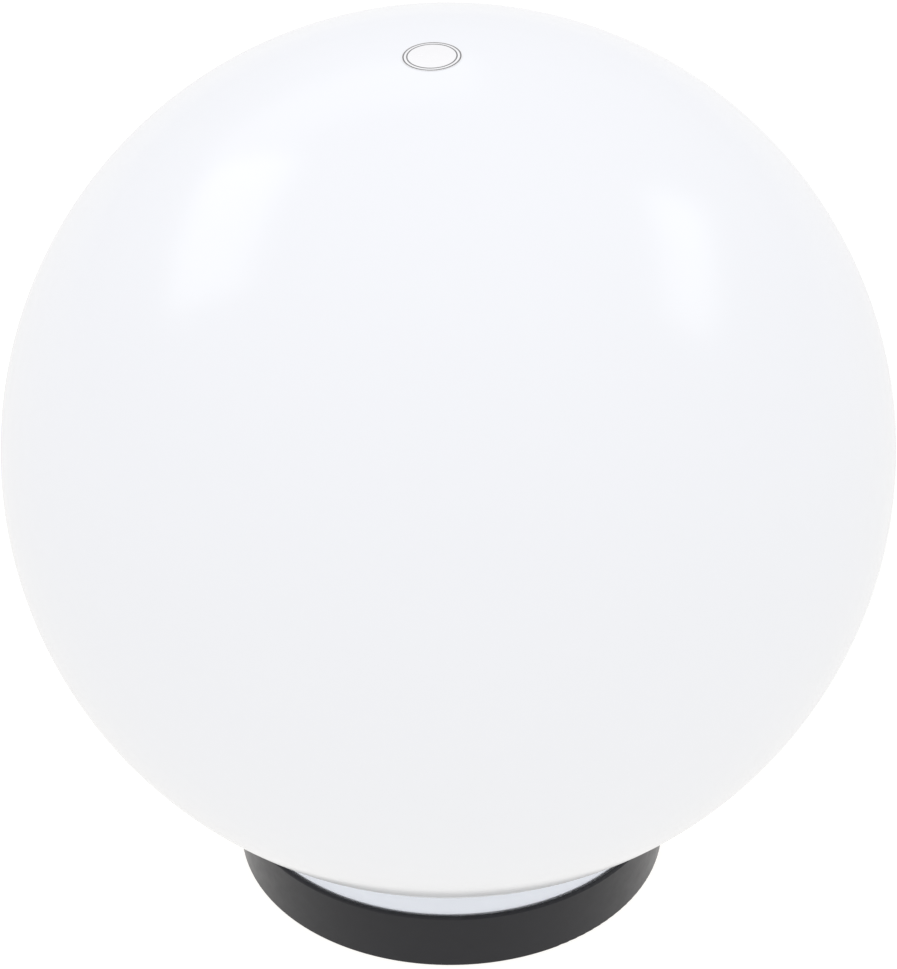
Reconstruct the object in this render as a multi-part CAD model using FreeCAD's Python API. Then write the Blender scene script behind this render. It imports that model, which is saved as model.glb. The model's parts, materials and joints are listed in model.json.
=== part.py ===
import FreeCAD, Part
import os
from math import sin, cos, tan, radians, degrees, sqrt, asin, acos, pi
from FreeCAD import Vector as V

# Garden globe light: opal ball on a low round base, held by a twist-lock neck.
# Millimetres. Z up, origin at the middle of the base's resting face, front is -Y, the cable leaves at +Y.

# ---------------------------------------------------------------- driving dimensions
GLOBE_R = 150.0            # outside radius of the ball
GLOBE_WALL = 2.5
GLOBE_Z = 163.0            # height of the ball's centre
NECK_R = 71.0              # outside radius of the neck
NECK_WALL = 2.5
NECK_END_R = 70.0          # thinner end that the seal grips
NECK_END_Z = 13.6
NECK_STEP_Z = 15.3
NECK_ROOT = 2.0            # round between neck and ball
FLANGE_R = 75.05           # sloping collar that closes the channel just inside the rim
FLANGE_R_LOW = 74.65
FLANGE_Z0, FLANGE_Z1 = 20.5, 22.75
FLANGE_TOP_Z = 26.6        # where its slope meets the neck
FLANGE_ROOT = 1.5

LUG_ANGLES = (114.0, 234.0, 354.0)     # lugs at rest, in the entry gaps
LUG_HALF = 7.0
LUG_R = 73.9
LUG_Z0, LUG_Z1 = 15.6, 17.5
HOOK_ANGLES = (90.0, 210.0, 330.0)
HOOK_HALF = 9.0
HOOK_R = 71.7
HOOK_Z0, HOOK_Z1 = 17.9, 19.9
STOP_DEG = 3.0
TWIST_DEG = 22.0           # from the entry gap to locked, clockwise from above

BASE_R_LOW = 75.75         # outside of the base where it stands
BASE_R_TOP = 77.3          # outside of the rim
RIM_R = 75.5               # inside of the rim
BASE_H = 22.8
DECK_Z = 12.2              # floor of the channel that the neck stands in
DECK_T = 2.0
PED_R = 65.5               # raised middle that carries the lampholder
PED_R_TOP = 65.0
PED_Z = 38.0
PLATE_T = 2.5
ROOM_R = 44.0              # wall of the wiring room
ROOM_WALL = 2.0
ROOM_Z = 15.0              # lower edge of that wall

FIX_PCD = 108.0            # three fixing holes through the base
FIX_ANGLES = (30.0, 150.0, 270.0)
FIX_HOLE_R = 2.75
FIX_HEAD_R = 5.5
FIX_TUBE_R = 7.3
FIX_SEAT_Z = 8.0
CABLE_NOTCH_W = 9.0
CABLE_NOTCH_H = 8.5

SEAL_IN, SEAL_OUT = 67.25, 71.25
SEAL_Z0, SEAL_WEB, SEAL_Z1 = 12.3, 1.2, 15.1
SEAL_LEG = 1.0

COVER_Z0, COVER_T = 12.0, 2.0
POST_PCD = 74.0
POST_ANGLES = (45.0, 135.0, 225.0, 315.0)
GROMMET_Y = 32.0
GROMMET_BORE_R = 3.2

CLAMP_Y, CLAMP_X = 14.0, 8.0

BLOCK_Y = -22.0            # middle of the terminal block
POLE_Y = (-16.5, -27.5)
POLE_Z = 24.0

HOLDER_R = 22.5
SLEEVE_IN, SLEEVE_OUT = 13.45, 13.95   # screw sleeve of the lampholder
BULB_CAP_R = 13.2          # screw cap of the bulb
THREAD_PITCH = 3.629
BULB_TIP_Z = 70.0
BULB_JOIN_Z = 137.0
BULB_R = 30.0
BULB_TOP_Z = 180.0

LABEL_R = 9.6              # round mark near the top of the ball
LABEL_T = 0.12
LABEL_DIR = (-0.02732, -0.01069, 0.99957)

os.makedirs("parts", exist_ok=True)
Z = V(0, 0, 1)
O = V(0, 0, 0)


# ---------------------------------------------------------------- helpers
def edges2d(pts, closed=True):
    """Edges through (r, z, round) points in the XZ plane, each corner rounded by a tangent arc."""
    n = len(pts)
    P = [V(p[0], 0, p[1]) for p in pts]
    F = [p[2] if len(p) > 2 else 0.0 for p in pts]
    cut = []
    for i in range(n):
        if F[i] <= 0 or (not closed and i in (0, n - 1)):
            cut.append((P[i], None, P[i]))
            continue
        a = (P[i - 1] - P[i]).normalize()
        b = (P[(i + 1) % n] - P[i]).normalize()
        half = acos(max(-1, min(1, a.dot(b)))) / 2
        t = F[i] / tan(half)
        bis = (a + b).normalize()
        c = P[i] + bis * (F[i] / sin(half))
        cut.append((P[i] + a * t, c - bis * F[i], P[i] + b * t))
    out = []
    for i in range(n):
        s, m, e = cut[i]
        if m is not None:
            out.append(Part.Arc(s, m, e).toShape())
        if closed or i < n - 1:
            nxt = cut[(i + 1) % n][0]
            if (nxt - e).Length > 1e-6:
                out.append(Part.LineSegment(e, nxt).toShape())
    return out


def turn(edges, angle=360.0, start=0.0):
    face = Part.Face(Part.Wire(Part.__sortEdges__(edges)))
    s = face.revolve(O, Z, angle)
    if start:
        s.rotate(O, Z, start)
    if s.ShapeType != "Solid":
        s = s.Solids[0] if s.Solids else Part.makeSolid(s)
    if s.Volume < 0:
        s.reverse()
    return s


def lathe(pts, angle=360.0, start=0.0):
    return turn(edges2d(pts), angle, start)


def cyl(r, z0, z1, x=0.0, y=0.0):
    return Part.makeCylinder(r, z1 - z0, V(x, y, z0))


def rod(r, a, b):
    return Part.makeCylinder(r, (b - a).Length, a, b - a)


def box(x0, x1, y0, y1, z0, z1):
    return Part.makeBox(x1 - x0, y1 - y0, z1 - z0, V(x0, y0, z0))


def polar(r, deg, z=0.0):
    return V(r * cos(radians(deg)), r * sin(radians(deg)), z)


def rib(r0, r1, t, z0, z1, deg):
    b = box(r0, r1, -t / 2, t / 2, z0, z1)
    b.rotate(O, Z, deg)
    return b


def hexagon(af, z0, z1, x=0.0, y=0.0):
    r = af / sqrt(3)
    w = Part.makePolygon([V(x + r * cos(radians(60 * i)), y + r * sin(radians(60 * i)), z0) for i in range(7)])
    return Part.Face(w).extrude(V(0, 0, z1 - z0))


def fuse(first, rest):
    s = first.fuse(rest)
    return s.removeSplitter()


def save(name, shapes):
    shapes = shapes if isinstance(shapes, list) else [shapes]
    solids = []
    for s in shapes:
        solids += s.Solids
    for s in solids:
        assert s.isValid() and s.isClosed(), name
    shape = solids[0] if len(solids) == 1 else Part.makeCompound(solids)
    shape.exportStep("parts/%s.step" % name)
    bb = shape.BoundBox
    print("%-24s solids %2d  vol %10.1f  z %7.2f %7.2f  r %6.2f" % (
        name, len(solids), sum(s.Volume for s in solids), bb.ZMin, bb.ZMax, max(abs(bb.XMin), bb.XMax)))
    return shape


def slotted_screw(x, y, z_seat, up, head_r, head_h, shaft_r, length, slot=0.8):
    """Screw with its head below z_seat when up is 1, above it when up is -1."""
    d = V(0, 0, up)
    head = Part.makeCylinder(head_r, head_h, V(x, y, z_seat), d * -1)
    shaft = Part.makeCylinder(shaft_r, length, V(x, y, z_seat), d)
    z_face = z_seat - up * head_h
    cut_h = head_h * 0.5
    lo, hi = sorted((z_face - up * 0.2, z_face + up * cut_h))
    s = fuse(head, [shaft])
    return s.cut(box(x - slot / 2, x + slot / 2, y - head_r - 1, y + head_r + 1, lo, hi))


def wire_tube(points, r):
    """Round tube along straight runs joined by tangent arcs. Prints its smallest bend."""
    P = [V(*p) for p in points]
    edges, radii = [], []
    last = P[0]
    for i in range(1, len(P) - 1):
        a, b = P[i - 1] - P[i], P[i + 1] - P[i]
        la, lb = a.Length, b.Length
        a.normalize(), b.normalize()
        half = acos(max(-1, min(1, a.dot(b)))) / 2
        t = 0.45 * min(la, lb)
        rad = t * tan(half)
        radii.append(rad)
        bis = (a + b).normalize()
        c = P[i] + bis * (rad / sin(half))
        s, m, e = P[i] + a * t, c - bis * rad, P[i] + b * t
        edges.append(Part.LineSegment(last, s).toShape())
        edges.append(Part.Arc(s, m, e).toShape())
        last = e
    edges.append(Part.LineSegment(last, P[-1]).toShape())
    path = Part.Wire(edges)
    d = P[1] - P[0]
    prof = Part.Wire([Part.Circle(P[0], d, r).toShape()])
    s = path.makePipeShell([prof], True, True)
    s = s if s.ShapeType == "Solid" else s.Solids[0]
    print("  bends mm: %s  length %.1f  volume %.1f of %.1f" % (
        " ".join("%.1f" % x for x in radii), path.Length, s.Volume, pi * r * r * path.Length))
    return s


# ---------------------------------------------------------------- globe
zc, R, Ri = GLOBE_Z, GLOBE_R, GLOBE_R - GLOBE_WALL
neck_in = NECK_R - NECK_WALL
# round between the outside of the ball and the neck
fz = zc - sqrt((R + NECK_ROOT) ** 2 - (NECK_R + NECK_ROOT) ** 2)
fc = V(NECK_R + NECK_ROOT, 0, fz)
to_c = (V(0, 0, zc) - fc).normalize()
f1 = fc + to_c * NECK_ROOT
f2 = V(NECK_R, 0, fz)
fm = fc + (((f1 - fc) + (f2 - fc)).normalize()) * NECK_ROOT
zi = zc - sqrt(Ri ** 2 - neck_in ** 2)


def on_ball(radius, deg):
    return V(radius * cos(radians(deg)), 0, zc + radius * sin(radians(deg)))


a_f1 = degrees(asin((f1.z - zc) / R))
a_in = degrees(asin((zi - zc) / Ri))
ball = [
    Part.Arc(V(0, 0, zc + R), on_ball(R, (90 + a_f1) / 2), f1).toShape(),
    Part.Arc(f1, fm, f2).toShape(),
] + edges2d([(f2.x, f2.z), (NECK_R, FLANGE_TOP_Z, FLANGE_ROOT), (FLANGE_R, FLANGE_Z1, 0.3), (FLANGE_R_LOW, FLANGE_Z0, 0.3),
             (NECK_R, FLANGE_Z0), (NECK_R, NECK_STEP_Z, 0.3), (NECK_END_R, NECK_STEP_Z, 0.3), (NECK_END_R, NECK_END_Z, 0.4),
             (neck_in, NECK_END_Z, 0.4), (neck_in, zi)], closed=False) + [
    Part.Arc(V(neck_in, 0, zi), on_ball(Ri, (90 + a_in) / 2), V(0, 0, zc + Ri)).toShape(),
    Part.LineSegment(V(0, 0, zc + Ri), V(0, 0, zc + R)).toShape(),
]
globe = turn(ball)
lugs = [lathe([(NECK_R - 0.8, LUG_Z0), (LUG_R, LUG_Z0, 0.4), (LUG_R, LUG_Z1, 0.6), (NECK_R - 0.8, LUG_Z1)],
              2 * LUG_HALF, a - LUG_HALF) for a in LUG_ANGLES]
globe = fuse(globe, lugs)
save("globe_shell", globe)

lab_a = degrees(asin(LABEL_R / R))


def cap_edges(r0, r1, half):
    p = lambda rr, a: V(rr * sin(radians(a)), 0, rr * cos(radians(a)))
    return [Part.Arc(p(r1, 0), p(r1, half / 2), p(r1, half)).toShape(),
            Part.LineSegment(p(r1, half), p(r0, half)).toShape(),
            Part.Arc(p(r0, half), p(r0, half / 2), p(r0, 0)).toShape(),
            Part.LineSegment(p(r0, 0), p(r1, 0)).toShape()]


label = turn(cap_edges(R + 0.02, R + 0.02 + LABEL_T, lab_a))
n = V(*LABEL_DIR).normalize()
label.rotate(O, Z.cross(n), degrees(acos(n.z)))
label.translate(V(0, 0, zc))
save("globe_label", label)

# ---------------------------------------------------------------- neck seal, a U section round the end of the neck
save("neck_seal", lathe([
    (SEAL_IN, SEAL_Z0, 0.3), (SEAL_OUT, SEAL_Z0, 0.3), (SEAL_OUT, SEAL_Z1, 0.35), (SEAL_OUT - SEAL_LEG, SEAL_Z1, 0.35),
    (SEAL_OUT - SEAL_LEG, SEAL_Z0 + SEAL_WEB), (SEAL_IN + SEAL_LEG, SEAL_Z0 + SEAL_WEB),
    (SEAL_IN + SEAL_LEG, SEAL_Z1, 0.35), (SEAL_IN, SEAL_Z1, 0.35)]))

# ---------------------------------------------------------------- base housing
plate_z = PED_Z - PLATE_T
deck_low = DECK_Z - DECK_T
wall_deck = 74.3                      # inside of the outer wall at the channel floor
housing = lathe([
    (BASE_R_LOW, 0, 0.6), (BASE_R_TOP, BASE_H, 0.9), (RIM_R, BASE_H, 0.7), (wall_deck, DECK_Z, 0.8), (PED_R, DECK_Z, 0.8),
    (PED_R_TOP, PED_Z, 2.2), (5.2, PED_Z), (5.2, plate_z), (ROOM_R - ROOM_WALL, plate_z, 0.8),
    (ROOM_R - ROOM_WALL, ROOM_Z), (ROOM_R, ROOM_Z), (ROOM_R, plate_z, 0.8), (62.6, plate_z, 1.2), (63.2, deck_low),
    (73.9, deck_low, 0.8), (73.6, 0, 0.4)])
add = [lathe([(20.5, PED_Z - 0.5), (22.7, PED_Z - 0.5), (22.7, PED_Z + 1.6, 0.5), (20.5, PED_Z + 1.6, 0.5)])]
for a in FIX_ANGLES:
    p = polar(FIX_PCD / 2, a)
    add.append(cyl(FIX_TUBE_R, 0, PED_Z - 0.3, p.x, p.y))
    add.append(rib(ROOM_R - 0.5, 64.0, 1.8, ROOM_Z + 0.5, plate_z + 0.5, a))
    add.append(rib(58.0, 74.6, 1.8, 3.0, deck_low + 0.5, a))
for a in (0, 60, 120, 180, 240, 300):
    add.append(rib(ROOM_R - 0.5, 64.0, 1.8, 16.0, plate_z + 0.5, a))
    add.append(rib(63.4, 74.6, 1.8, 4.0, deck_low + 0.5, a))
for a in (75, 105, 195, 225, 315, 345):
    add.append(rib(63.4, 74.6, 1.8, 4.0, deck_low + 0.5, a))
for a in POST_ANGLES:
    p = polar(POST_PCD / 2, a)
    add.append(cyl(3.8, COVER_Z0 + COVER_T + 0.05, plate_z + 0.5, p.x, p.y))
add.append(cyl(4.5, 29.55, plate_z + 0.5, 0, BLOCK_Y))
for sx in (-1, 1):
    add.append(cyl(3.3, 24.0, plate_z + 0.5, sx * CLAMP_X, CLAMP_Y))
for a in HOOK_ANGLES:
    add.append(lathe([(HOOK_R, HOOK_Z0, 0.5), (75.6, HOOK_Z0), (75.6, HOOK_Z1), (HOOK_R, HOOK_Z1, 0.5)],
                     2 * HOOK_HALF, a - HOOK_HALF))
    add.append(lathe([(HOOK_R + 0.1, DECK_Z - 0.5), (75.0, DECK_Z - 0.5), (75.5, HOOK_Z0 + 0.6), (HOOK_R + 0.1, HOOK_Z0 + 0.6)],
                     STOP_DEG, a - HOOK_HALF))
housing = fuse(housing, add)
cuts = []
for a in FIX_ANGLES:
    p = polar(FIX_PCD / 2, a)
    cuts += [cyl(FIX_HOLE_R, -1, FIX_SEAT_Z + 1, p.x, p.y), cyl(FIX_HEAD_R, FIX_SEAT_Z, PED_Z + 3, p.x, p.y)]
for a in POST_ANGLES:
    p = polar(POST_PCD / 2, a)
    cuts.append(cyl(1.52, 10, 30, p.x, p.y))
cuts.append(cyl(1.52, 28, 34.5, 0, BLOCK_Y))
for sx in (-1, 1):
    cuts.append(cyl(1.52, 22, 34.0, sx * CLAMP_X, CLAMP_Y))
half_w = CABLE_NOTCH_W / 2
cuts.append(box(-half_w, half_w, 70, 80, -1, CABLE_NOTCH_H - half_w))
cuts.append(rod(half_w, V(0, 70, CABLE_NOTCH_H - half_w), V(0, 80, CABLE_NOTCH_H - half_w)))
for a in (15, 165, 270):                       # drains in the channel floor
    d = box(72.2, 73.9, -4, 4, DECK_Z - 3.5, DECK_Z + 1.2)
    d.rotate(O, Z, a)
    cuts.append(d)
for c in cuts:
    housing = housing.cut(c)
save("base_housing", housing)

# ---------------------------------------------------------------- cover of the wiring room, its seal and screws
cover = lathe([(0, COVER_Z0), (ROOM_R, COVER_Z0, 0.5), (ROOM_R, COVER_Z0 + COVER_T), (0, COVER_Z0 + COVER_T)])
stiff = lathe([(15, COVER_Z0 - 1.2, 0.4), (17, COVER_Z0 - 1.2, 0.4), (17, COVER_Z0 + 0.5), (15, COVER_Z0 + 0.5)])
cover = fuse(cover, [stiff])
cover = cover.cut(cyl(6.0, 5, 20, 0, GROMMET_Y))
for a in POST_ANGLES:
    p = polar(POST_PCD / 2, a)
    cover = cover.cut(cyl(1.7, 5, 20, p.x, p.y))
save("bottom_cover", cover)
save("cover_seal", lathe([(42.1, 14.02), (43.9, 14.02), (43.9, 14.98), (42.1, 14.98)]))
save("cover_screws", [slotted_screw(polar(37, a).x, polar(37, a).y, COVER_Z0 - 0.02, 1, 3.2, 1.8, 1.5, 13.0)
                      for a in POST_ANGLES])

# ---------------------------------------------------------------- cable grommet and cord clamp
gr = lathe([(GROMMET_BORE_R, 7.5), (4.8, 7.5, 0.5), (6.6, 10.2), (8.0, 10.4, 0.4), (8.0, 11.97, 0.4), (5.97, 11.97),
            (5.97, 14.03), (8.0, 14.03, 0.4), (8.0, 16.0, 0.6), (GROMMET_BORE_R, 16.0)])
gr.translate(V(0, GROMMET_Y, 0))
save("cable_grommet", gr)

clamp = box(-12.5, 12.5, CLAMP_Y - 4, CLAMP_Y + 4, 20.4, 23.95)
clamp = clamp.makeFillet(1.2, [e for e in clamp.Edges if abs(e.Vertexes[0].Z - e.Vertexes[1].Z) > 1])
clamp = clamp.cut(rod(4.0, V(0, CLAMP_Y - 6, 26.0), V(0, CLAMP_Y + 6, 26.0)))
clamp = fuse(clamp, [box(-2.2, 2.2, CLAMP_Y - 0.6, CLAMP_Y + 0.6, 21.0, 22.6)])
for sx in (-1, 1):
    clamp = clamp.cut(cyl(1.7, 18, 26, sx * CLAMP_X, CLAMP_Y))
save("cord_clamp", clamp)
save("clamp_screws", [slotted_screw(sx * CLAMP_X, CLAMP_Y, 20.38, 1, 2.9, 1.7, 1.5, 12.0) for sx in (-1, 1)])

# ---------------------------------------------------------------- terminal block
block = box(-10, 10, BLOCK_Y - 11, BLOCK_Y + 11, 17.5, 29.5)
block = block.makeFillet(0.8, [e for e in block.Edges if abs(e.Vertexes[0].Z - e.Vertexes[1].Z) > 1])
for y in POLE_Y:
    block = block.cut(rod(2.65, V(-8.6, y, POLE_Z), V(8.6, y, POLE_Z)))
    block = block.cut(rod(1.9, V(-12, y, POLE_Z), V(12, y, POLE_Z)))
    for x in (-4.5, 4.5):
        block = block.cut(cyl(1.95, 15, POLE_Z, x, y))
for sx in (-1, 1):
    block = block.cut(box(*sorted((sx * 4.2, sx * 12)), BLOCK_Y - 1.3, BLOCK_Y + 1.3, 16, 20.5))
    block = block.cut(box(*sorted((sx * 4.2, sx * 12)), BLOCK_Y - 1.3, BLOCK_Y + 1.3, 27.0, 31))
block = block.cut(cyl(1.7, 15, 31, 0, BLOCK_Y))
save("terminal_block", block)
contacts = []
for y in POLE_Y:
    t = rod(2.6, V(-8.5, y, POLE_Z), V(8.5, y, POLE_Z)).cut(rod(1.5, V(-9, y, POLE_Z), V(9, y, POLE_Z)))
    for x in (-4.5, 4.5):
        t = t.cut(cyl(1.72, 18, POLE_Z, x, y))
    contacts.append(t)
save("terminal_contacts", contacts)
screws = []
for y in POLE_Y:
    for x in (-4.5, 4.5):
        s = cyl(1.7, 18.3, 22.6, x, y)
        screws.append(s.cut(box(x - 2, x + 2, y - 0.3, y + 0.3, 18, 19.3)))
save("terminal_screws", screws)
save("block_screw", slotted_screw(0, BLOCK_Y, 17.48, 1, 2.9, 1.7, 1.5, 16.0))

# ---------------------------------------------------------------- nipple, washer, nut
save("threaded_nipple", lathe([(3.6, 30.0), (5.0, 30.0, 0.4), (5.0, 43.0, 0.4), (3.6, 43.0)]))
save("nipple_washer", lathe([(5.2, 34.5), (9.0, 34.5, 0.2), (9.0, 35.48, 0.2), (5.2, 35.48)]))
nut = hexagon(14.0, 30.4, 34.48)
nut = nut.common(lathe([(0, 30.4), (7.2, 30.4), (8.2, 31.0), (8.2, 33.9), (7.2, 34.48), (0, 34.48)]))
save("nipple_nut", nut.cut(cyl(5.02, 29, 36)))

# ---------------------------------------------------------------- lampholder
save("lampholder_cap", lathe([
    (5.03, 38.02), (18.3, 38.02, 1.0), (22.3, 47.0, 5.0), (22.3, 56.0, 0.3), (20.1, 56.0), (20.1, 62.0, 0.3), (18.3, 62.0),
    (18.3, 48.5, 4.0), (15.4, 41.2, 1.0), (8.0, 41.2), (8.0, 44.0, 0.4), (5.03, 44.0)]))
save("lampholder_shell", lathe([
    (HOLDER_R, 56.15, 0.4), (HOLDER_R, 93.0, 1.2), (14.7, 93.0, 0.5), (14.7, 91.0), (20.4, 91.0, 0.8), (20.4, 56.15)]))
insert = lathe([(0, 62.2), (20.0, 62.2, 0.4), (20.0, 66.2, 0.4), (16.6, 66.2), (16.6, 86.0, 0.4), (14.2, 86.0, 0.4),
                (14.2, 66.2), (0, 66.2)])
insert = insert.cut(box(-2.1, 2.1, -9.1, -6.9, 60, 68))
insert = insert.cut(box(-2.1, 2.1, 6.9, 9.1, 60, 68))
save("lampholder_insert", insert)
save("thread_sleeve", lathe([(SLEEVE_IN, 66.5), (SLEEVE_OUT, 66.5), (SLEEVE_OUT, 90.0), (SLEEVE_IN, 90.0)]))
cc = fuse(box(-2.0, 2.0, -9.0, 2.5, 66.25, 66.95), [box(-2.0, 2.0, -9.0, -7.0, 62.15, 66.5),
                                                   lathe([(0, 66.5), (2.2, 66.5), (2.2, 69.7, 0.8), (0, 69.7)])])
save("centre_contact", cc)
sc = fuse(box(-2.0, 2.0, 7.0, 13.1, 66.25, 66.95), [box(-2.0, 2.0, 7.0, 9.0, 62.15, 66.5),
                                                   box(-2.0, 2.0, 12.5, 13.1, 66.5, 71.0)])
save("side_contact", sc)
terms, tscrews = [], []
for sy in (-1, 1):
    y0, y1 = sorted((sy * 5.0, sy * 11.0))
    t = box(-3, 3, y0, y1, 55.2, 62.1).cut(cyl(1.35, 54, 60.0, 0, sy * 8.0))
    t = t.cut(rod(1.25, V(0, sy * 8.0, 57.6), V(0, sy * 13, 57.6)))
    terms.append(t)
    s = fuse(rod(1.2, V(0, sy * 9.35, 57.6), V(0, sy * 11.3, 57.6)), [rod(2.2, V(0, sy * 11.05, 57.6), V(0, sy * 12.6, 57.6))])
    s = s.cut(box(-3, 3, min(sy * 12.0, sy * 13.0), max(sy * 12.0, sy * 13.0), 57.25, 57.95))
    tscrews.append(s)
save("holder_terminals", terms)
save("holder_screws", tscrews)

# ---------------------------------------------------------------- inner leads, terminal block to lampholder
LEAD_R = 1.1
save("live_lead", wire_tube([(3, -16.5, 24), (14.5, -16.5, 24), (19, -8.5, 24.2), (12, -1.8, 25.2), (0, -1.3, 27),
                             (0, -1.3, 46), (0, -8, 51), (0, -8, 58.5)], LEAD_R))
save("neutral_lead", wire_tube([(3, -27.5, 24), (19, -27.5, 24), (27, -15, 24), (24, 1, 24.5), (12, 5, 25.5), (0, 1.3, 27),
                                (0, 1.3, 46), (0, 8, 51), (0, 8, 58.5)], LEAD_R))

# ---------------------------------------------------------------- screw-in bulb
save("bulb_tip_contact", lathe([(0, BULB_TIP_Z), (3.2, BULB_TIP_Z, 0.6), (4.5, 70.7), (4.5, 71.5), (0, 71.5)]))
save("bulb_insulator", lathe([(4.8, 70.7), (5.6, 70.7, 0.3), (10.3, 75.0), (10.3, 77.0), (0, 77.0), (0, 71.8), (4.8, 71.8)]))
save("bulb_cap", lathe([(10.4, 74.9), (11.0, 74.9, 0.3), (BULB_CAP_R, 77.2, 0.8), (BULB_CAP_R, 93.5, 0.6), (12.8, 94.2), (12.8, 97.5),
                        (12.3, 97.5), (12.3, 94.0), (BULB_CAP_R - 0.5, 93.2), (BULB_CAP_R - 0.5, 77.6), (10.4, 75.6)]))
save("bulb_housing", lathe([
    (0, 93.6), (12.1, 93.6), (12.1, 98.0), (13.6, 98.0, 0.5), (15.4, 106.0, 12), (28.6, 132.0, 18), (29.4, BULB_JOIN_Z, 0.3),
    (27.6, BULB_JOIN_Z), (26.8, 132.4, 8), (13.8, 107.0, 8), (12.0, 101.0), (0, 101.0)]))
save("bulb_driver", fuse(box(-9.0, 9.0, -0.8, 0.8, 101.1, 124.0), [cyl(4.0, 104, 118, 3.5, 4.5), box(-8, -1, 0.5, 6, 104, 111)]))
save("led_board", lathe([(0, 133.6), (26.2, 133.6), (26.2, 135.2), (0, 135.2)]))
save("led_chips", [Part.makeBox(2.8, 2.8, 0.7, polar(18, 30 * i, 135.22) - V(1.4, 1.4, 0)) for i in range(12)])
# diffuser: a dome that starts upright at the joint and closes at the top
dz = BULB_TOP_Z - BULB_JOIN_Z
DC = BULB_TOP_Z - BULB_R                       # centre of the round top


def dome(r, z0):
    p = lambda a: V(r * cos(radians(a)), 0, DC + r * sin(radians(a)))
    lo = degrees(asin(max(-1.0, (z0 - DC) / r)))
    return p(lo), p((90 + lo) / 2), p(90)


o0, o1, o2 = dome(BULB_R, BULB_JOIN_Z + 0.1)
i0, i1, i2 = dome(BULB_R - 1.2, BULB_JOIN_Z + 0.1)
save("bulb_diffuser", turn([Part.Arc(o0, o1, o2).toShape(), Part.LineSegment(o2, i2).toShape(), Part.Arc(i2, i1, i0).toShape(),
                            Part.LineSegment(i0, o0).toShape()]))
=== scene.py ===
import json
import math
import bmesh
import bpy
import numpy as np
from mathutils import Matrix, Vector


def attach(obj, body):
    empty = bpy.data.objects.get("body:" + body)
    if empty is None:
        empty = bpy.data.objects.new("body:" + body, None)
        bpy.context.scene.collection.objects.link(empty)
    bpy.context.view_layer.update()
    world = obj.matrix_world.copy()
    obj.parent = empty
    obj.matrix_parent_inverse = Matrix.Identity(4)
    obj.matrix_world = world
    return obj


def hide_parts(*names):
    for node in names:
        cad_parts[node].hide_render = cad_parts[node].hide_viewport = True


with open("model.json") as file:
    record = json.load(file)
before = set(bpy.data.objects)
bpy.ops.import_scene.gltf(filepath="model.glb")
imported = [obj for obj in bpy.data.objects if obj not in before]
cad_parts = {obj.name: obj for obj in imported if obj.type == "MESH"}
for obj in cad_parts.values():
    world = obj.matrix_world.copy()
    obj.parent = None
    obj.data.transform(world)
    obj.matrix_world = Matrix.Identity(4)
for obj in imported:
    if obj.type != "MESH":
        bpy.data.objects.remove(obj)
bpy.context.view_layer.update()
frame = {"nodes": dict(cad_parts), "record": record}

# Garden globe light. Metres, in the row frame: base on z = 0, front is -Y.
MM = 0.001
GLOBE_R, GLOBE_WALL, GLOBE_Z = 150.0, 2.5, 163.0
NECK_R, NECK_END_R, NECK_END_Z, NECK_STEP_Z, NECK_ROOT = 71.0, 70.0, 13.6, 15.3, 2.0
FLANGE_R, FLANGE_R_LOW, FLANGE_Z0, FLANGE_Z1, FLANGE_TOP_Z, FLANGE_ROOT = 75.05, 74.65, 20.5, 22.75, 26.6, 1.5
scene = bpy.context.scene
nodes = frame["nodes"]

# ---------------------------------------------------------------- camera: the photograph's viewing angle
cam_data = bpy.data.cameras.new("camera")
cam = bpy.data.objects.new("camera", cam_data)
scene.collection.objects.link(cam)
scene.camera = cam
centre = Vector((0, 0, GLOBE_Z * MM))
eye = centre + 0.15 * Vector((0.0, -6.9132264, 4.5931798))
ahead = Vector((-0.0000622, 0.8277995, -0.5610240)).normalized()
right = Vector((0.9999611, -0.0048961, -0.0073352)).normalized()
above = right.cross(ahead).normalized()
right = ahead.cross(above).normalized()
rot = Matrix((right, above, -ahead)).transposed()
cam.matrix_world = Matrix.Translation(eye) @ rot.to_4x4()
cam_data.sensor_width = 36.0
cam_data.lens = 3692.612 * 36.0 / 969.0
cam_data.clip_start, cam_data.clip_end = 0.05, 60.0


# ---------------------------------------------------------------- mesh helpers
def rounded(pts, closed=True, steps=6, support=0.25):
    """Corner points (r, z, round) in mm to a smooth list of (r, z), with support points beside each round."""
    n = len(pts)
    P = [Vector((p[0], p[1])) for p in pts]
    F = [p[2] if len(p) > 2 else 0.0 for p in pts]
    arcs = []
    for i in range(n):
        if F[i] <= 0 or (not closed and i in (0, n - 1)):
            arcs.append([P[i]])
            continue
        a, b = (P[i - 1] - P[i]).normalized(), (P[(i + 1) % n] - P[i]).normalized()
        half = math.acos(max(-1, min(1, a.dot(b)))) / 2
        t = F[i] / math.tan(half)
        c = P[i] + (a + b).normalized() * (F[i] / math.sin(half))
        s, e = P[i] + a * t, P[i] + b * t
        a0, a1 = math.atan2(*(s - c).yx), math.atan2(*(e - c).yx)
        while a1 - a0 > math.pi:
            a1 -= 2 * math.pi
        while a1 - a0 < -math.pi:
            a1 += 2 * math.pi
        k = max(2, min(steps, int(abs(a1 - a0) / math.radians(9)) + 1))
        arcs.append([c + F[i] * Vector((math.cos(a0 + (a1 - a0) * j / k), math.sin(a0 + (a1 - a0) * j / k))) for j in range(k + 1)])
    out = []
    for i in range(n):
        out += arcs[i]
        if closed or i < n - 1:
            e, s = arcs[i][-1], arcs[(i + 1) % n][0]
            d = (s - e).length
            if support and d > 3 * support:
                out += [e + (s - e) * (support / d), s + (e - s) * (support / d)]
    res = []
    for p in out:
        if not res or (p - res[-1]).length > 1e-4:
            res.append(p)
    if closed and (res[0] - res[-1]).length < 1e-4:
        res.pop()
    return [(p.x, p.y) for p in res]


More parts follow.
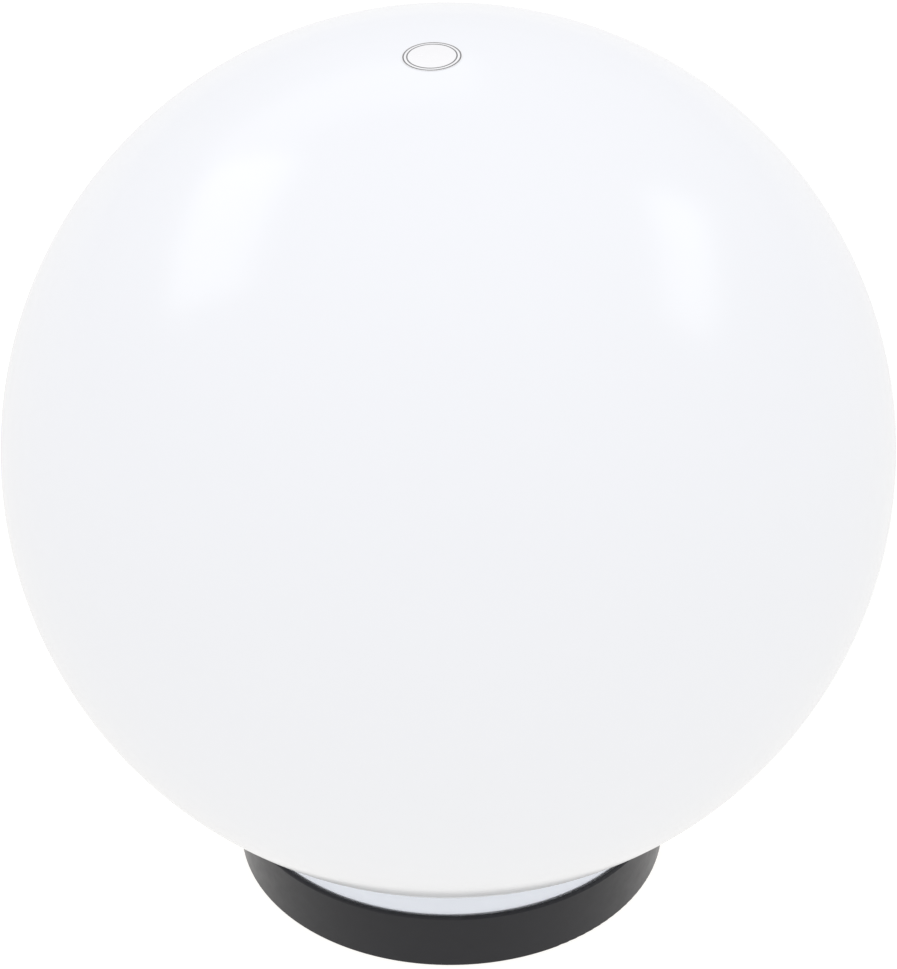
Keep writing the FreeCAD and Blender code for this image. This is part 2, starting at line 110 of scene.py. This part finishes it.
def finish_mesh(me, sharp=34.0):
    me.validate()
    me.polygons.foreach_set("use_smooth", [True] * len(me.polygons))
    me.set_sharp_from_angle(angle=math.radians(sharp))
    me.update()


def new_object(name, verts, faces, sharp=34.0):
    me = bpy.data.meshes.new(name)
    me.from_pydata([(x * MM, y * MM, z * MM) for x, y, z in verts], [], faces)
    bm = bmesh.new()
    bm.from_mesh(me)
    bmesh.ops.recalc_face_normals(bm, faces=bm.faces)
    bm.to_mesh(me)
    bm.free()
    finish_mesh(me, sharp)
    ob = bpy.data.objects.new(name, me)
    scene.collection.objects.link(ob)
    return ob


def lathe(name, profile, n=128, closed=True, sharp=34.0, shape=None):
    """Profile of (r, z) in mm turned about Z. A point on the axis becomes one pole vertex. shape(r, z, angle) may alter r."""
    verts, faces, rings = [], [], []
    ang = [2 * math.pi * i / n for i in range(n)]
    for r, z in profile:
        if r < 1e-6:
            rings.append([len(verts)])
            verts.append((0, 0, z))
        else:
            rings.append(list(range(len(verts), len(verts) + n)))
            rr = [shape(r, z, a) if shape else r for a in ang]
            verts += [(q * math.cos(a), q * math.sin(a), z) for q, a in zip(rr, ang)]
    count = len(rings)
    for i in range(count if closed else count - 1):
        A, B = rings[i], rings[(i + 1) % count]
        if len(A) == 1 and len(B) == 1:
            continue
        for j in range(n):
            k = (j + 1) % n
            if len(A) == 1:
                faces.append((A[0], B[k], B[j]))
            elif len(B) == 1:
                faces.append((A[j], A[k], B[0]))
            else:
                faces.append((A[j], A[k], B[k], B[j]))
    return new_object(name, verts, faces, sharp)


def sector(name, profile, a0, a1, steps=10, edge=0.0):
    """Closed profile swept about Z from a0 to a1 degrees, with capped ends."""
    verts, faces = [], []
    m = len(profile)
    for i in range(steps + 1):
        a = math.radians(a0 + (a1 - a0) * i / steps)
        verts += [(r * math.cos(a), r * math.sin(a), z) for r, z in profile]
    for i in range(steps):
        for j in range(m):
            k = (j + 1) % m
            faces.append((i * m + j, i * m + k, (i + 1) * m + k, (i + 1) * m + j))
    faces.append(tuple(range(m)))
    faces.append(tuple(steps * m + j for j in reversed(range(m))))
    return new_object(name, verts, faces)


def join(name, parts):
    bm = bmesh.new()
    for p in parts:
        bm.from_mesh(p.data)
    me = bpy.data.meshes.new(name)
    bm.to_mesh(me)
    bm.free()
    finish_mesh(me)
    for p in parts:
        bpy.data.objects.remove(p)
    ob = bpy.data.objects.new(name, me)
    scene.collection.objects.link(ob)
    return ob


def settle(ob, sharp=None):
    """Applies the object's modifiers to its mesh."""
    deps = bpy.context.evaluated_depsgraph_get()
    me = bpy.data.meshes.new_from_object(ob.evaluated_get(deps))
    ob.modifiers.clear()
    ob.data = me
    if sharp:
        finish_mesh(me, sharp)
    return ob


def bevelled(ob, width, segments=3, angle=40.0, sharp=50.0):
    m = ob.modifiers.new("bevel", "BEVEL")
    m.width, m.segments, m.limit_method, m.angle_limit = width * MM, segments, "ANGLE", math.radians(angle)
    m.harden_normals = False
    w = ob.modifiers.new("normals", "WEIGHTED_NORMAL")
    w.keep_sharp = True
    return settle(ob)


# ---------------------------------------------------------------- materials
def ramp(nt, src, lo, hi, a=0.3, b=0.7):
    r = nt.nodes.new("ShaderNodeValToRGB")
    r.color_ramp.elements[0].position, r.color_ramp.elements[1].position = a, b
    r.color_ramp.elements[0].color = (*lo, 1)
    r.color_ramp.elements[1].color = (*hi, 1)
    nt.links.new(src, r.inputs["Fac"])
    return r.outputs["Color"]


def noise(nt, vec, scale, detail=3.0, rough=0.5, seed=0.0):
    n = nt.nodes.new("ShaderNodeTexNoise")
    n.noise_dimensions = "4D"
    n.inputs["Scale"].default_value = scale
    n.inputs["Detail"].default_value = detail
    n.inputs["Roughness"].default_value = rough
    n.inputs["W"].default_value = seed
    nt.links.new(vec, n.inputs["Vector"])
    return n.outputs["Fac"]


def span(nt, src, lo, hi, a=0.3, b=0.7):
    m = nt.nodes.new("ShaderNodeMapRange")
    m.inputs["From Min"].default_value, m.inputs["From Max"].default_value = a, b
    m.inputs["To Min"].default_value, m.inputs["To Max"].default_value = lo, hi
    nt.links.new(src, m.inputs["Value"])
    return m.outputs["Result"]


def material(name, base, vary=0.03, vary_scale=60.0, rough=(0.4, 0.5), rough_scale=200.0, bumps=(), metallic=0.0, ior=1.5,
             specular=0.5, stretch=(1, 1, 1), tint=None, **sockets):
    """Principled surface with its colour, roughness and relief varied by noise in the object's own space."""
    m = bpy.data.materials.new(name)
    m.use_nodes = True
    nt = m.node_tree
    b = nt.nodes["Principled BSDF"]
    tc = nt.nodes.new("ShaderNodeTexCoord")
    mp = nt.nodes.new("ShaderNodeMapping")
    mp.inputs["Scale"].default_value = stretch
    nt.links.new(tc.outputs["Object"], mp.inputs["Vector"])
    vec = mp.outputs["Vector"]
    lo = tuple(max(0.0, c * (1 - vary)) for c in base)
    hi = tuple(min(1.0, c * (1 + vary)) for c in (tint or base))
    nt.links.new(ramp(nt, noise(nt, vec, vary_scale, 4.0, 0.6, 1.7), lo, hi), b.inputs["Base Color"])
    nt.links.new(span(nt, noise(nt, vec, rough_scale, 3.0, 0.6, 5.1), rough[0], rough[1]), b.inputs["Roughness"])
    last = None
    for i, (scale, strength, depth) in enumerate(bumps):
        bp = nt.nodes.new("ShaderNodeBump")
        bp.inputs["Strength"].default_value = strength
        bp.inputs["Distance"].default_value = depth * MM
        nt.links.new(noise(nt, vec, scale, 2.0, 0.5, 9.0 + i), bp.inputs["Height"])
        if last is not None:
            nt.links.new(last, bp.inputs["Normal"])
        last = bp.outputs["Normal"]
    if last is not None:
        nt.links.new(last, b.inputs["Normal"])
    b.inputs["Metallic"].default_value = metallic
    b.inputs["IOR"].default_value = ior
    b.inputs["Specular IOR Level"].default_value = specular
    for k, v in sockets.items():
        b.inputs[k.replace("_", " ")].default_value = v
    return m


M = {
    "opal_acrylic": material("opal_acrylic", (0.719, 0.732, 0.751), vary=0.003, vary_scale=9, rough=(0.18, 0.22), rough_scale=25,
                             bumps=((45, 0.05, 0.05),), ior=1.49, specular=0.16),
    "label_film": material("label_film", (0.728, 0.728, 0.730), vary=0.006, vary_scale=300, rough=(0.20, 0.28), rough_scale=400,
                           bumps=((900, 0.05, 0.01),), specular=0.2),
    "label_ink": material("label_ink", (0.16, 0.16, 0.163), vary=0.12, vary_scale=900, rough=(0.45, 0.6), rough_scale=900),
    "base_plastic": material("base_plastic", (0.0105, 0.0110, 0.0140), vary=0.08, vary_scale=120, rough=(0.34, 0.42), rough_scale=260,
                             bumps=((1500, 0.16, 0.05), (420, 0.06, 0.06)), specular=0.28, Sheen_Weight=0.20, Sheen_Roughness=0.35),
    "seal_rubber": material("seal_rubber", (0.018, 0.018, 0.019), vary=0.15, vary_scale=150, rough=(0.55, 0.72), rough_scale=300,
                            bumps=((900, 0.2, 0.06),), specular=0.35),
    "holder_plastic": material("holder_plastic", (0.014, 0.014, 0.015), vary=0.1, vary_scale=120, rough=(0.22, 0.32), rough_scale=200,
                               bumps=((700, 0.05, 0.04),)),
    "block_nylon": material("block_nylon", (0.70, 0.68, 0.62), vary=0.03, vary_scale=120, rough=(0.38, 0.5), rough_scale=300,
                            bumps=((800, 0.08, 0.05),), Subsurface_Weight=0.15, Subsurface_Radius=(0.002, 0.0016, 0.001)),
    "insert_ceramic": material("insert_ceramic", (0.74, 0.72, 0.67), vary=0.04, vary_scale=200, rough=(0.45, 0.7), rough_scale=500,
                               bumps=((1200, 0.15, 0.05),)),
    "steel_screw": material("steel_screw", (0.56, 0.57, 0.59), vary=0.08, vary_scale=300, rough=(0.25, 0.38), rough_scale=600,
                            bumps=((1400, 0.08, 0.03),), metallic=1.0),
    "zinc_steel": material("zinc_steel", (0.50, 0.51, 0.53), vary=0.1, vary_scale=220, rough=(0.3, 0.45), rough_scale=500,
                           bumps=((1000, 0.1, 0.03),), metallic=1.0),
    "brass": material("brass", (0.74, 0.54, 0.22), vary=0.1, vary_scale=200, rough=(0.22, 0.36), rough_scale=500,
                      bumps=((1000, 0.06, 0.03),), metallic=1.0),
    "wire_brown": material("wire_brown", (0.11, 0.045, 0.02), vary=0.06, vary_scale=200, rough=(0.35, 0.45), rough_scale=400,
                           bumps=((900, 0.06, 0.04),)),
    "wire_blue": material("wire_blue", (0.02, 0.09, 0.36), vary=0.06, vary_scale=200, rough=(0.35, 0.45), rough_scale=400,
                          bumps=((900, 0.06, 0.04),)),
    "bulb_metal": material("bulb_metal", (0.66, 0.66, 0.67), vary=0.06, vary_scale=240, rough=(0.2, 0.34), rough_scale=500,
                           bumps=((900, 0.05, 0.03),), metallic=1.0),
    "bulb_glass": material("bulb_glass", (0.008, 0.008, 0.009), vary=0.2, vary_scale=300, rough=(0.08, 0.16), rough_scale=500,
                           bumps=((500, 0.1, 0.05),)),
    "bulb_plastic": material("bulb_plastic", (0.80, 0.80, 0.805), vary=0.01, vary_scale=80, rough=(0.28, 0.36), rough_scale=200,
                             bumps=((700, 0.05, 0.04),)),
    "bulb_opal": material("bulb_opal", (0.84, 0.84, 0.83), vary=0.008, vary_scale=40, rough=(0.34, 0.42), rough_scale=100,
                          bumps=((300, 0.04, 0.04),)),
    "circuit_board": material("circuit_board", (0.03, 0.16, 0.06), vary=0.12, vary_scale=400, rough=(0.3, 0.45), rough_scale=400,
                              bumps=((1200, 0.1, 0.03),)),
    "led_yellow": material("led_yellow", (0.85, 0.66, 0.10), vary=0.05, vary_scale=900, rough=(0.3, 0.4), rough_scale=500,
                           bumps=((1500, 0.05, 0.02),)),
}


# painted glow: the neck below the ball is painted a brighter, bluer white than the ball, standing in for light that
# comes through the translucent ball into the shaded gap above the base's rim
nt = M["opal_acrylic"].node_tree
tc = next(n for n in nt.nodes if n.type == "TEX_COORD")
split = nt.nodes.new("ShaderNodeSeparateXYZ")
nt.links.new(tc.outputs["Object"], split.inputs["Vector"])
ball_white = nt.nodes["Principled BSDF"].inputs["Base Color"].links[0].from_socket
neck_painted_glow = ramp(nt, noise(nt, tc.outputs["Object"], 30, 3.0, 0.5, 3.3), (0.803, 0.832, 0.874), (0.811, 0.840, 0.882))
blend = nt.nodes.new("ShaderNodeMix")
blend.data_type = "RGBA"
# the painted glow takes over from the ball's own white between z 30.5 mm and 27.5 mm
nt.links.new(span(nt, split.outputs["Z"], 1.0, 0.0, 0.0275, 0.0305), blend.inputs[0])
nt.links.new(ball_white, blend.inputs[6])
nt.links.new(neck_painted_glow, blend.inputs[7])
nt.links.new(blend.outputs[2], nt.nodes["Principled BSDF"].inputs["Base Color"])


def dress(ob, slot, body=None, *replaced):
    ob.data.materials.clear()
    ob.data.materials.append(M[slot])
    if body:
        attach(ob, body)
    if replaced:
        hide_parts(*replaced)
    return ob


slot_of = {s["node"]: s["material_slot"] for s in frame["record"]["subparts"]}
for name, ob in nodes.items():
    for i in range(max(1, len(ob.material_slots))):
        if not ob.material_slots:
            ob.data.materials.append(M[slot_of[name]])
        ob.material_slots[i].material = M[slot_of[name]]

# ---------------------------------------------------------------- ball: sphere, neck, stepped end
R, Ri, zc = GLOBE_R, GLOBE_R - GLOBE_WALL, GLOBE_Z
neck_in = NECK_R - GLOBE_WALL
fz = zc - math.sqrt((R + NECK_ROOT) ** 2 - (NECK_R + NECK_ROOT) ** 2)
fc = Vector((NECK_R + NECK_ROOT, fz))
f1 = fc + (Vector((0, zc)) - fc).normalized() * NECK_ROOT
a_end = math.atan2(f1.y - zc, f1.x)
profile = []
k = 150
for i in range(k + 1):
    a = math.pi / 2 + (a_end - math.pi / 2) * i / k
    profile.append((R * math.cos(a) if i else 0.0, zc + R * math.sin(a)))
a0 = math.atan2(f1.y - fc.y, f1.x - fc.x)
for i in range(1, 9):
    a = a0 + (math.pi - a0) * i / 8
    profile.append((fc.x + NECK_ROOT * math.cos(a), fc.y + NECK_ROOT * math.sin(a)))
profile += rounded([(NECK_R, fz - 0.2), (NECK_R, FLANGE_TOP_Z, FLANGE_ROOT), (FLANGE_R, FLANGE_Z1, 0.3), (FLANGE_R_LOW, FLANGE_Z0, 0.3),
                    (NECK_R, FLANGE_Z0), (NECK_R, NECK_STEP_Z, 0.3), (NECK_END_R, NECK_STEP_Z, 0.3), (NECK_END_R, NECK_END_Z, 0.4),
                    (neck_in, NECK_END_Z, 0.4), (neck_in, 30.5)], closed=False)
zi = zc - math.sqrt(Ri ** 2 - neck_in ** 2)
b0 = math.atan2(zi - zc, neck_in)
inner = 100
for i in range(inner):
    a = b0 + (math.pi / 2 - b0) * i / inner
    profile.append((Ri * math.cos(a), zc + Ri * math.sin(a)))
profile.append((0.0, zc + Ri))
globe = lathe("globe_ball", profile, n=288, closed=False, sharp=50)
dress(globe, "opal_acrylic", "globe", "globe_shell")
lugs = []
for a in (114.0, 234.0, 354.0):
    lug = sector("lug", rounded([(NECK_R - 0.6, 15.6), (73.9, 15.6, 0.4), (73.9, 17.5, 0.6), (NECK_R - 0.6, 17.5)], support=0), a - 7, a + 7, 14)
    lugs.append(bevelled(lug, 0.35))
dress(join("globe_lugs", lugs), "opal_acrylic", "globe")

# ---------------------------------------------------------------- round mark near the top of the ball
label_n = Vector((-0.02732, -0.01069, 0.99957)).normalized()
label_rot = Vector((0, 0, 1)).rotation_difference(label_n).to_matrix()


def on_label(rho, ang, radius):
    """Point at distance rho (mm, along the ball) from the mark's middle, at height radius from the ball's centre."""
    t = math.asin(min(1.0, rho / R))
    v = Vector((math.sin(t) * math.cos(ang), math.sin(t) * math.sin(ang), math.cos(t)))
    p = label_rot @ v * radius
    return (p.x, p.y, p.z + zc)


def label_ring(name, r_in, r_out, bottom, top, n=160, rings=2):
    """Thin closed ring, or a disc when r_in is 0, that follows the ball."""
    verts, faces, loops = [], [], []
    radii = [r_in + (r_out - r_in) * i / rings for i in range(rings + 1)]
    for h in (top, bottom):
        for r in radii:
            if r < 1e-6:
                loops.append([len(verts)])
                verts.append(on_label(0, 0, h))
            else:
                loops.append(list(range(len(verts), len(verts) + n)))
                verts += [on_label(r, 2 * math.pi * j / n, h) for j in range(n)]
    m = len(radii)

    def strip(A, B):
        for j in range(n):
            k = (j + 1) % n
            if len(A) == 1:
                faces.append((A[0], B[j], B[k]))
            elif len(B) == 1:
                faces.append((A[j], A[k], B[0]))
            else:
                faces.append((A[j], A[k], B[k], B[j]))
    for i in range(m - 1):
        strip(loops[i], loops[i + 1])
        strip(loops[m + i + 1], loops[m + i])
    strip(loops[m - 1], loops[2 * m - 1])
    if r_in > 1e-6:
        strip(loops[m], loops[0])
    return new_object(name, verts, faces, 40)


film = label_ring("label_disc", 0.0, 9.6, R + 0.02, R + 0.10, rings=8)
dress(film, "label_film", "globe", "globe_label")
inks = [label_ring("ring_a", 8.86, 9.32, R + 0.09, R + 0.125), label_ring("ring_b", 7.68, 8.12, R + 0.09, R + 0.125)]
dress(join("label_print", inks), "label_ink", "globe")

# ---------------------------------------------------------------- neck seal with small lips
seal = rounded([(67.25, 12.3, 0.3), (69.0, 12.3), (69.25, 12.55, 0.15), (69.5, 12.3), (71.25, 12.3, 0.3), (71.25, 13.3, 0.15), (70.95, 13.5, 0.15),
                (71.25, 13.7, 0.15), (71.25, 15.1, 0.35), (70.25, 15.1, 0.35), (70.25, 13.5), (68.25, 13.5), (68.25, 15.1, 0.35),
                (67.25, 15.1, 0.35), (67.25, 13.7, 0.15), (67.55, 13.5, 0.15), (67.25, 13.3, 0.15)], support=0.1)
dress(lathe("seal_ring", seal, n=224), "seal_rubber", "seal", "neck_seal")

# ---------------------------------------------------------------- screw thread of the bulb's cap and the lampholder's sleeve
PITCH = 3.629


def window(z, lo, hi, fade):
    return max(0.0, min(1.0, (z - lo) / fade, (hi - z) / fade))


def steps(lo, hi, step):
    k = max(1, round((hi - lo) / step))
    return [lo + (hi - lo) * i / k for i in range(k + 1)]


def cap_shape(r, z, a):
    if 12.2 < r < 12.76 and 77.2 <= z <= 93.2:
        return r + 0.46 * math.cos(2 * math.pi * z / PITCH - a) * window(z, 77.2, 93.2, 1.6)
    if r > 12.77 and z > 94.3:
        dent = max(0.0, math.cos(4 * a)) ** 10 * math.exp(-(((z - 95.9) / 0.55) ** 2))
        return r - 0.28 * dent
    return r


cap = [(10.4, 75.3), (10.4, 74.98), (10.5, 74.9), (10.9, 74.9), (11.06, 74.98), (12.5, 76.75), (12.66, 77.0)]
cap += [(12.72, z) for z in steps(77.2, 93.2, 0.24)]
cap += [(12.74, 93.6), (12.79, 94.0)] + [(12.8, z) for z in steps(94.3, 97.2, 0.22)] + [(12.72, 97.45), (12.55, 97.5), (12.36, 97.45)]
cap += [(12.3, z) for z in (97.2, 95.8, 94.2)] + [(12.27, 93.6)] + [(12.26, z) for z in reversed(steps(77.4, 93.2, 0.24))] + [(12.1, 77.2)]
dress(lathe("cap_thread", cap, n=160, shape=cap_shape, sharp=50), "bulb_metal", "bulb", "bulb_cap")


def sleeve_shape(r, z, a):
    return r + 0.16 * math.cos(2 * math.pi * z / PITCH - a) * window(z, 66.5, 90.0, 1.2)


sleeve = [(13.62, z) for z in steps(66.5, 90.0, 0.4)] + [(13.78, z) for z in reversed(steps(66.5, 90.0, 0.4))]
dress(lathe("sleeve_thread", sleeve, n=112, shape=sleeve_shape, sharp=50), "brass", "base", "thread_sleeve")


# ---------------------------------------------------------------- lampholder's shell with grip ribs, bulb's housing with flutes
def grip_shape(r, z, a):
    if r > 22.3 and 59.5 < z < 88.5:
        w = 0.5 - 0.5 * math.cos(40 * a)
        return r - 0.55 * (1 - min(1.0, 1.7 * w)) * window(z, 59.5, 88.5, 1.5)
    return r


grip = rounded([(22.5, 56.15, 0.4), (22.5, 93.0, 1.2), (14.7, 93.0, 0.5), (14.7, 91.0), (20.4, 91.0, 0.8), (20.4, 56.15)])
grip = [p for p in grip if not (p[0] > 22.4 and 58 < p[1] < 90)]
at = max(i for i, p in enumerate(grip) if p[0] > 22.4 and p[1] < 60) + 1
grip[at:at] = [(22.5, z) for z in (59.0, 59.5, 59.9, 60.3, 60.7, 61.0, 64, 68, 72, 76, 80, 84, 87.0, 87.3, 87.7, 88.1, 88.5, 89.0)]
dress(lathe("holder_grip", grip, n=320, shape=grip_shape), "holder_plastic", "base", "lampholder_shell")


def flute_shape(r, z, a):
    if z > 106 and z < 131 and r > 15.2 + 0.45 * (z - 106):
        w = max(0.0, math.cos(14 * a)) ** 1.5
        return r - 0.5 * w * window(z, 107.0, 130.5, 3.5)
    return r


body = rounded([(0, 93.6), (12.1, 93.6), (12.1, 98.0), (13.6, 98.0, 0.5), (15.4, 106.0, 12), (28.6, 132.0, 18), (29.4, 137.0, 0.3),
                (27.6, 137.0), (26.8, 132.4, 8), (13.8, 107.0, 8), (12.0, 101.0), (0, 101.0)], steps=14)
fine = []
for p, q in zip(body, body[1:] + body[:1]):
    fine.append(p)
    if min(p[0], q[0]) > 12.5 and math.hypot(q[0] - p[0], q[1] - p[1]) > 1.5:
        k = int(math.hypot(q[0] - p[0], q[1] - p[1]) / 0.9)
        fine += [(p[0] + (q[0] - p[0]) * i / k, p[1] + (q[1] - p[1]) * i / k) for i in range(1, k)]
dress(lathe("housing_flutes", fine, n=280, shape=flute_shape), "bulb_plastic", "bulb", "bulb_housing")

# ---------------------------------------------------------------- floor and light
def pale_floor(name, glow, z):
    bm = bmesh.new()
    bmesh.ops.create_grid(bm, x_segments=24, y_segments=24, size=9.0)
    me = bpy.data.meshes.new(name)
    bm.to_mesh(me)
    bm.free()
    ob = bpy.data.objects.new(name, me)
    ob.location = (0, 0, z)
    scene.collection.objects.link(ob)
    m = bpy.data.materials.new(name)
    m.use_nodes = True
    nt = m.node_tree
    b = nt.nodes["Principled BSDF"]
    tc = nt.nodes.new("ShaderNodeTexCoord")
    nt.links.new(ramp(nt, noise(nt, tc.outputs["Object"], 3.0, 3.0), (0.278, 0.278, 0.278), (0.282, 0.282, 0.282)), b.inputs["Base Color"])
    b.inputs["Roughness"].default_value = 0.85
    b.inputs["Specular IOR Level"].default_value = 0.1
    b.inputs["Emission Color"].default_value = (1.0, 0.982, 0.95, 1)
    b.inputs["Emission Strength"].default_value = glow
    me.materials.append(m)
    return ob


# the floor that is seen and lights the object, and a dimmer one that only glossy surfaces mirror
floor = pale_floor("floor", 0.88, -0.0002)
floor.visible_glossy = False
mirrored = pale_floor("floor_mirrored", 0.63, -0.0003)
mirrored.visible_camera = mirrored.visible_diffuse = mirrored.visible_shadow = mirrored.visible_transmission = False

world = bpy.data.worlds.new("world")
scene.world = world
world.use_nodes = True
nt = world.node_tree
sky = nt.nodes["Background"]
sky.inputs["Color"].default_value = (0.985, 0.980, 1.0, 1)
sky.inputs["Strength"].default_value = 1.195
dim = nt.nodes.new("ShaderNodeBackground")
dim.inputs["Color"].default_value = (0.985, 0.980, 1.0, 1)
dim.inputs["Strength"].default_value = 0.88
path = nt.nodes.new("ShaderNodeLightPath")
mix = nt.nodes.new("ShaderNodeMixShader")
nt.links.new(path.outputs["Is Glossy Ray"], mix.inputs["Fac"])
nt.links.new(sky.outputs["Background"], mix.inputs[1])
nt.links.new(dim.outputs["Background"], mix.inputs[2])
nt.links.new(mix.outputs["Shader"], nt.nodes["World Output"].inputs["Surface"])


def softbox(name, az, el, dist, w, h, radiance, colour=(1, 1, 1), glossy_only=False, roll=0):
    """Rectangular light at azimuth az (degrees from the front, to the right) and elevation el about the ball's middle."""
    light = bpy.data.lights.new(name, "AREA")
    light.shape = "RECTANGLE"
    light.size, light.size_y = w, h
    light.energy = radiance * math.pi * w * h
    light.color = colour
    ob = bpy.data.objects.new(name, light)
    scene.collection.objects.link(ob)
    a, e = math.radians(az), math.radians(el)
    d = Vector((math.sin(a) * math.cos(e), -math.cos(a) * math.cos(e), math.sin(e)))
    ob.location = centre + dist * d
    ob.rotation_euler = (d.to_track_quat("Z", "Y").to_matrix() @ Matrix.Rotation(math.radians(roll), 3, "Z")).to_euler()
    ob.visible_camera = False
    ob.visible_diffuse = not glossy_only
    ob.visible_glossy = glossy_only
    return ob


softbox("box_left", -111, 41.5, 1.5, 0.90, 0.56, 2.9, glossy_only=True, roll=-10)
softbox("box_right", 101, 38, 1.5, 0.84, 0.35, 3.1, glossy_only=True, roll=10)
softbox("band_rear", -158, 42.5, 1.6, 1.25, 0.54, 0.8, glossy_only=True, roll=-12)
softbox("top_soft", 0, 88, 1.6, 1.6, 1.6, 0.45)

scene.view_settings.view_transform = "Standard"
scene.view_settings.look = "None"
scene.view_settings.exposure = 0.0
scene.view_settings.gamma = 1.0
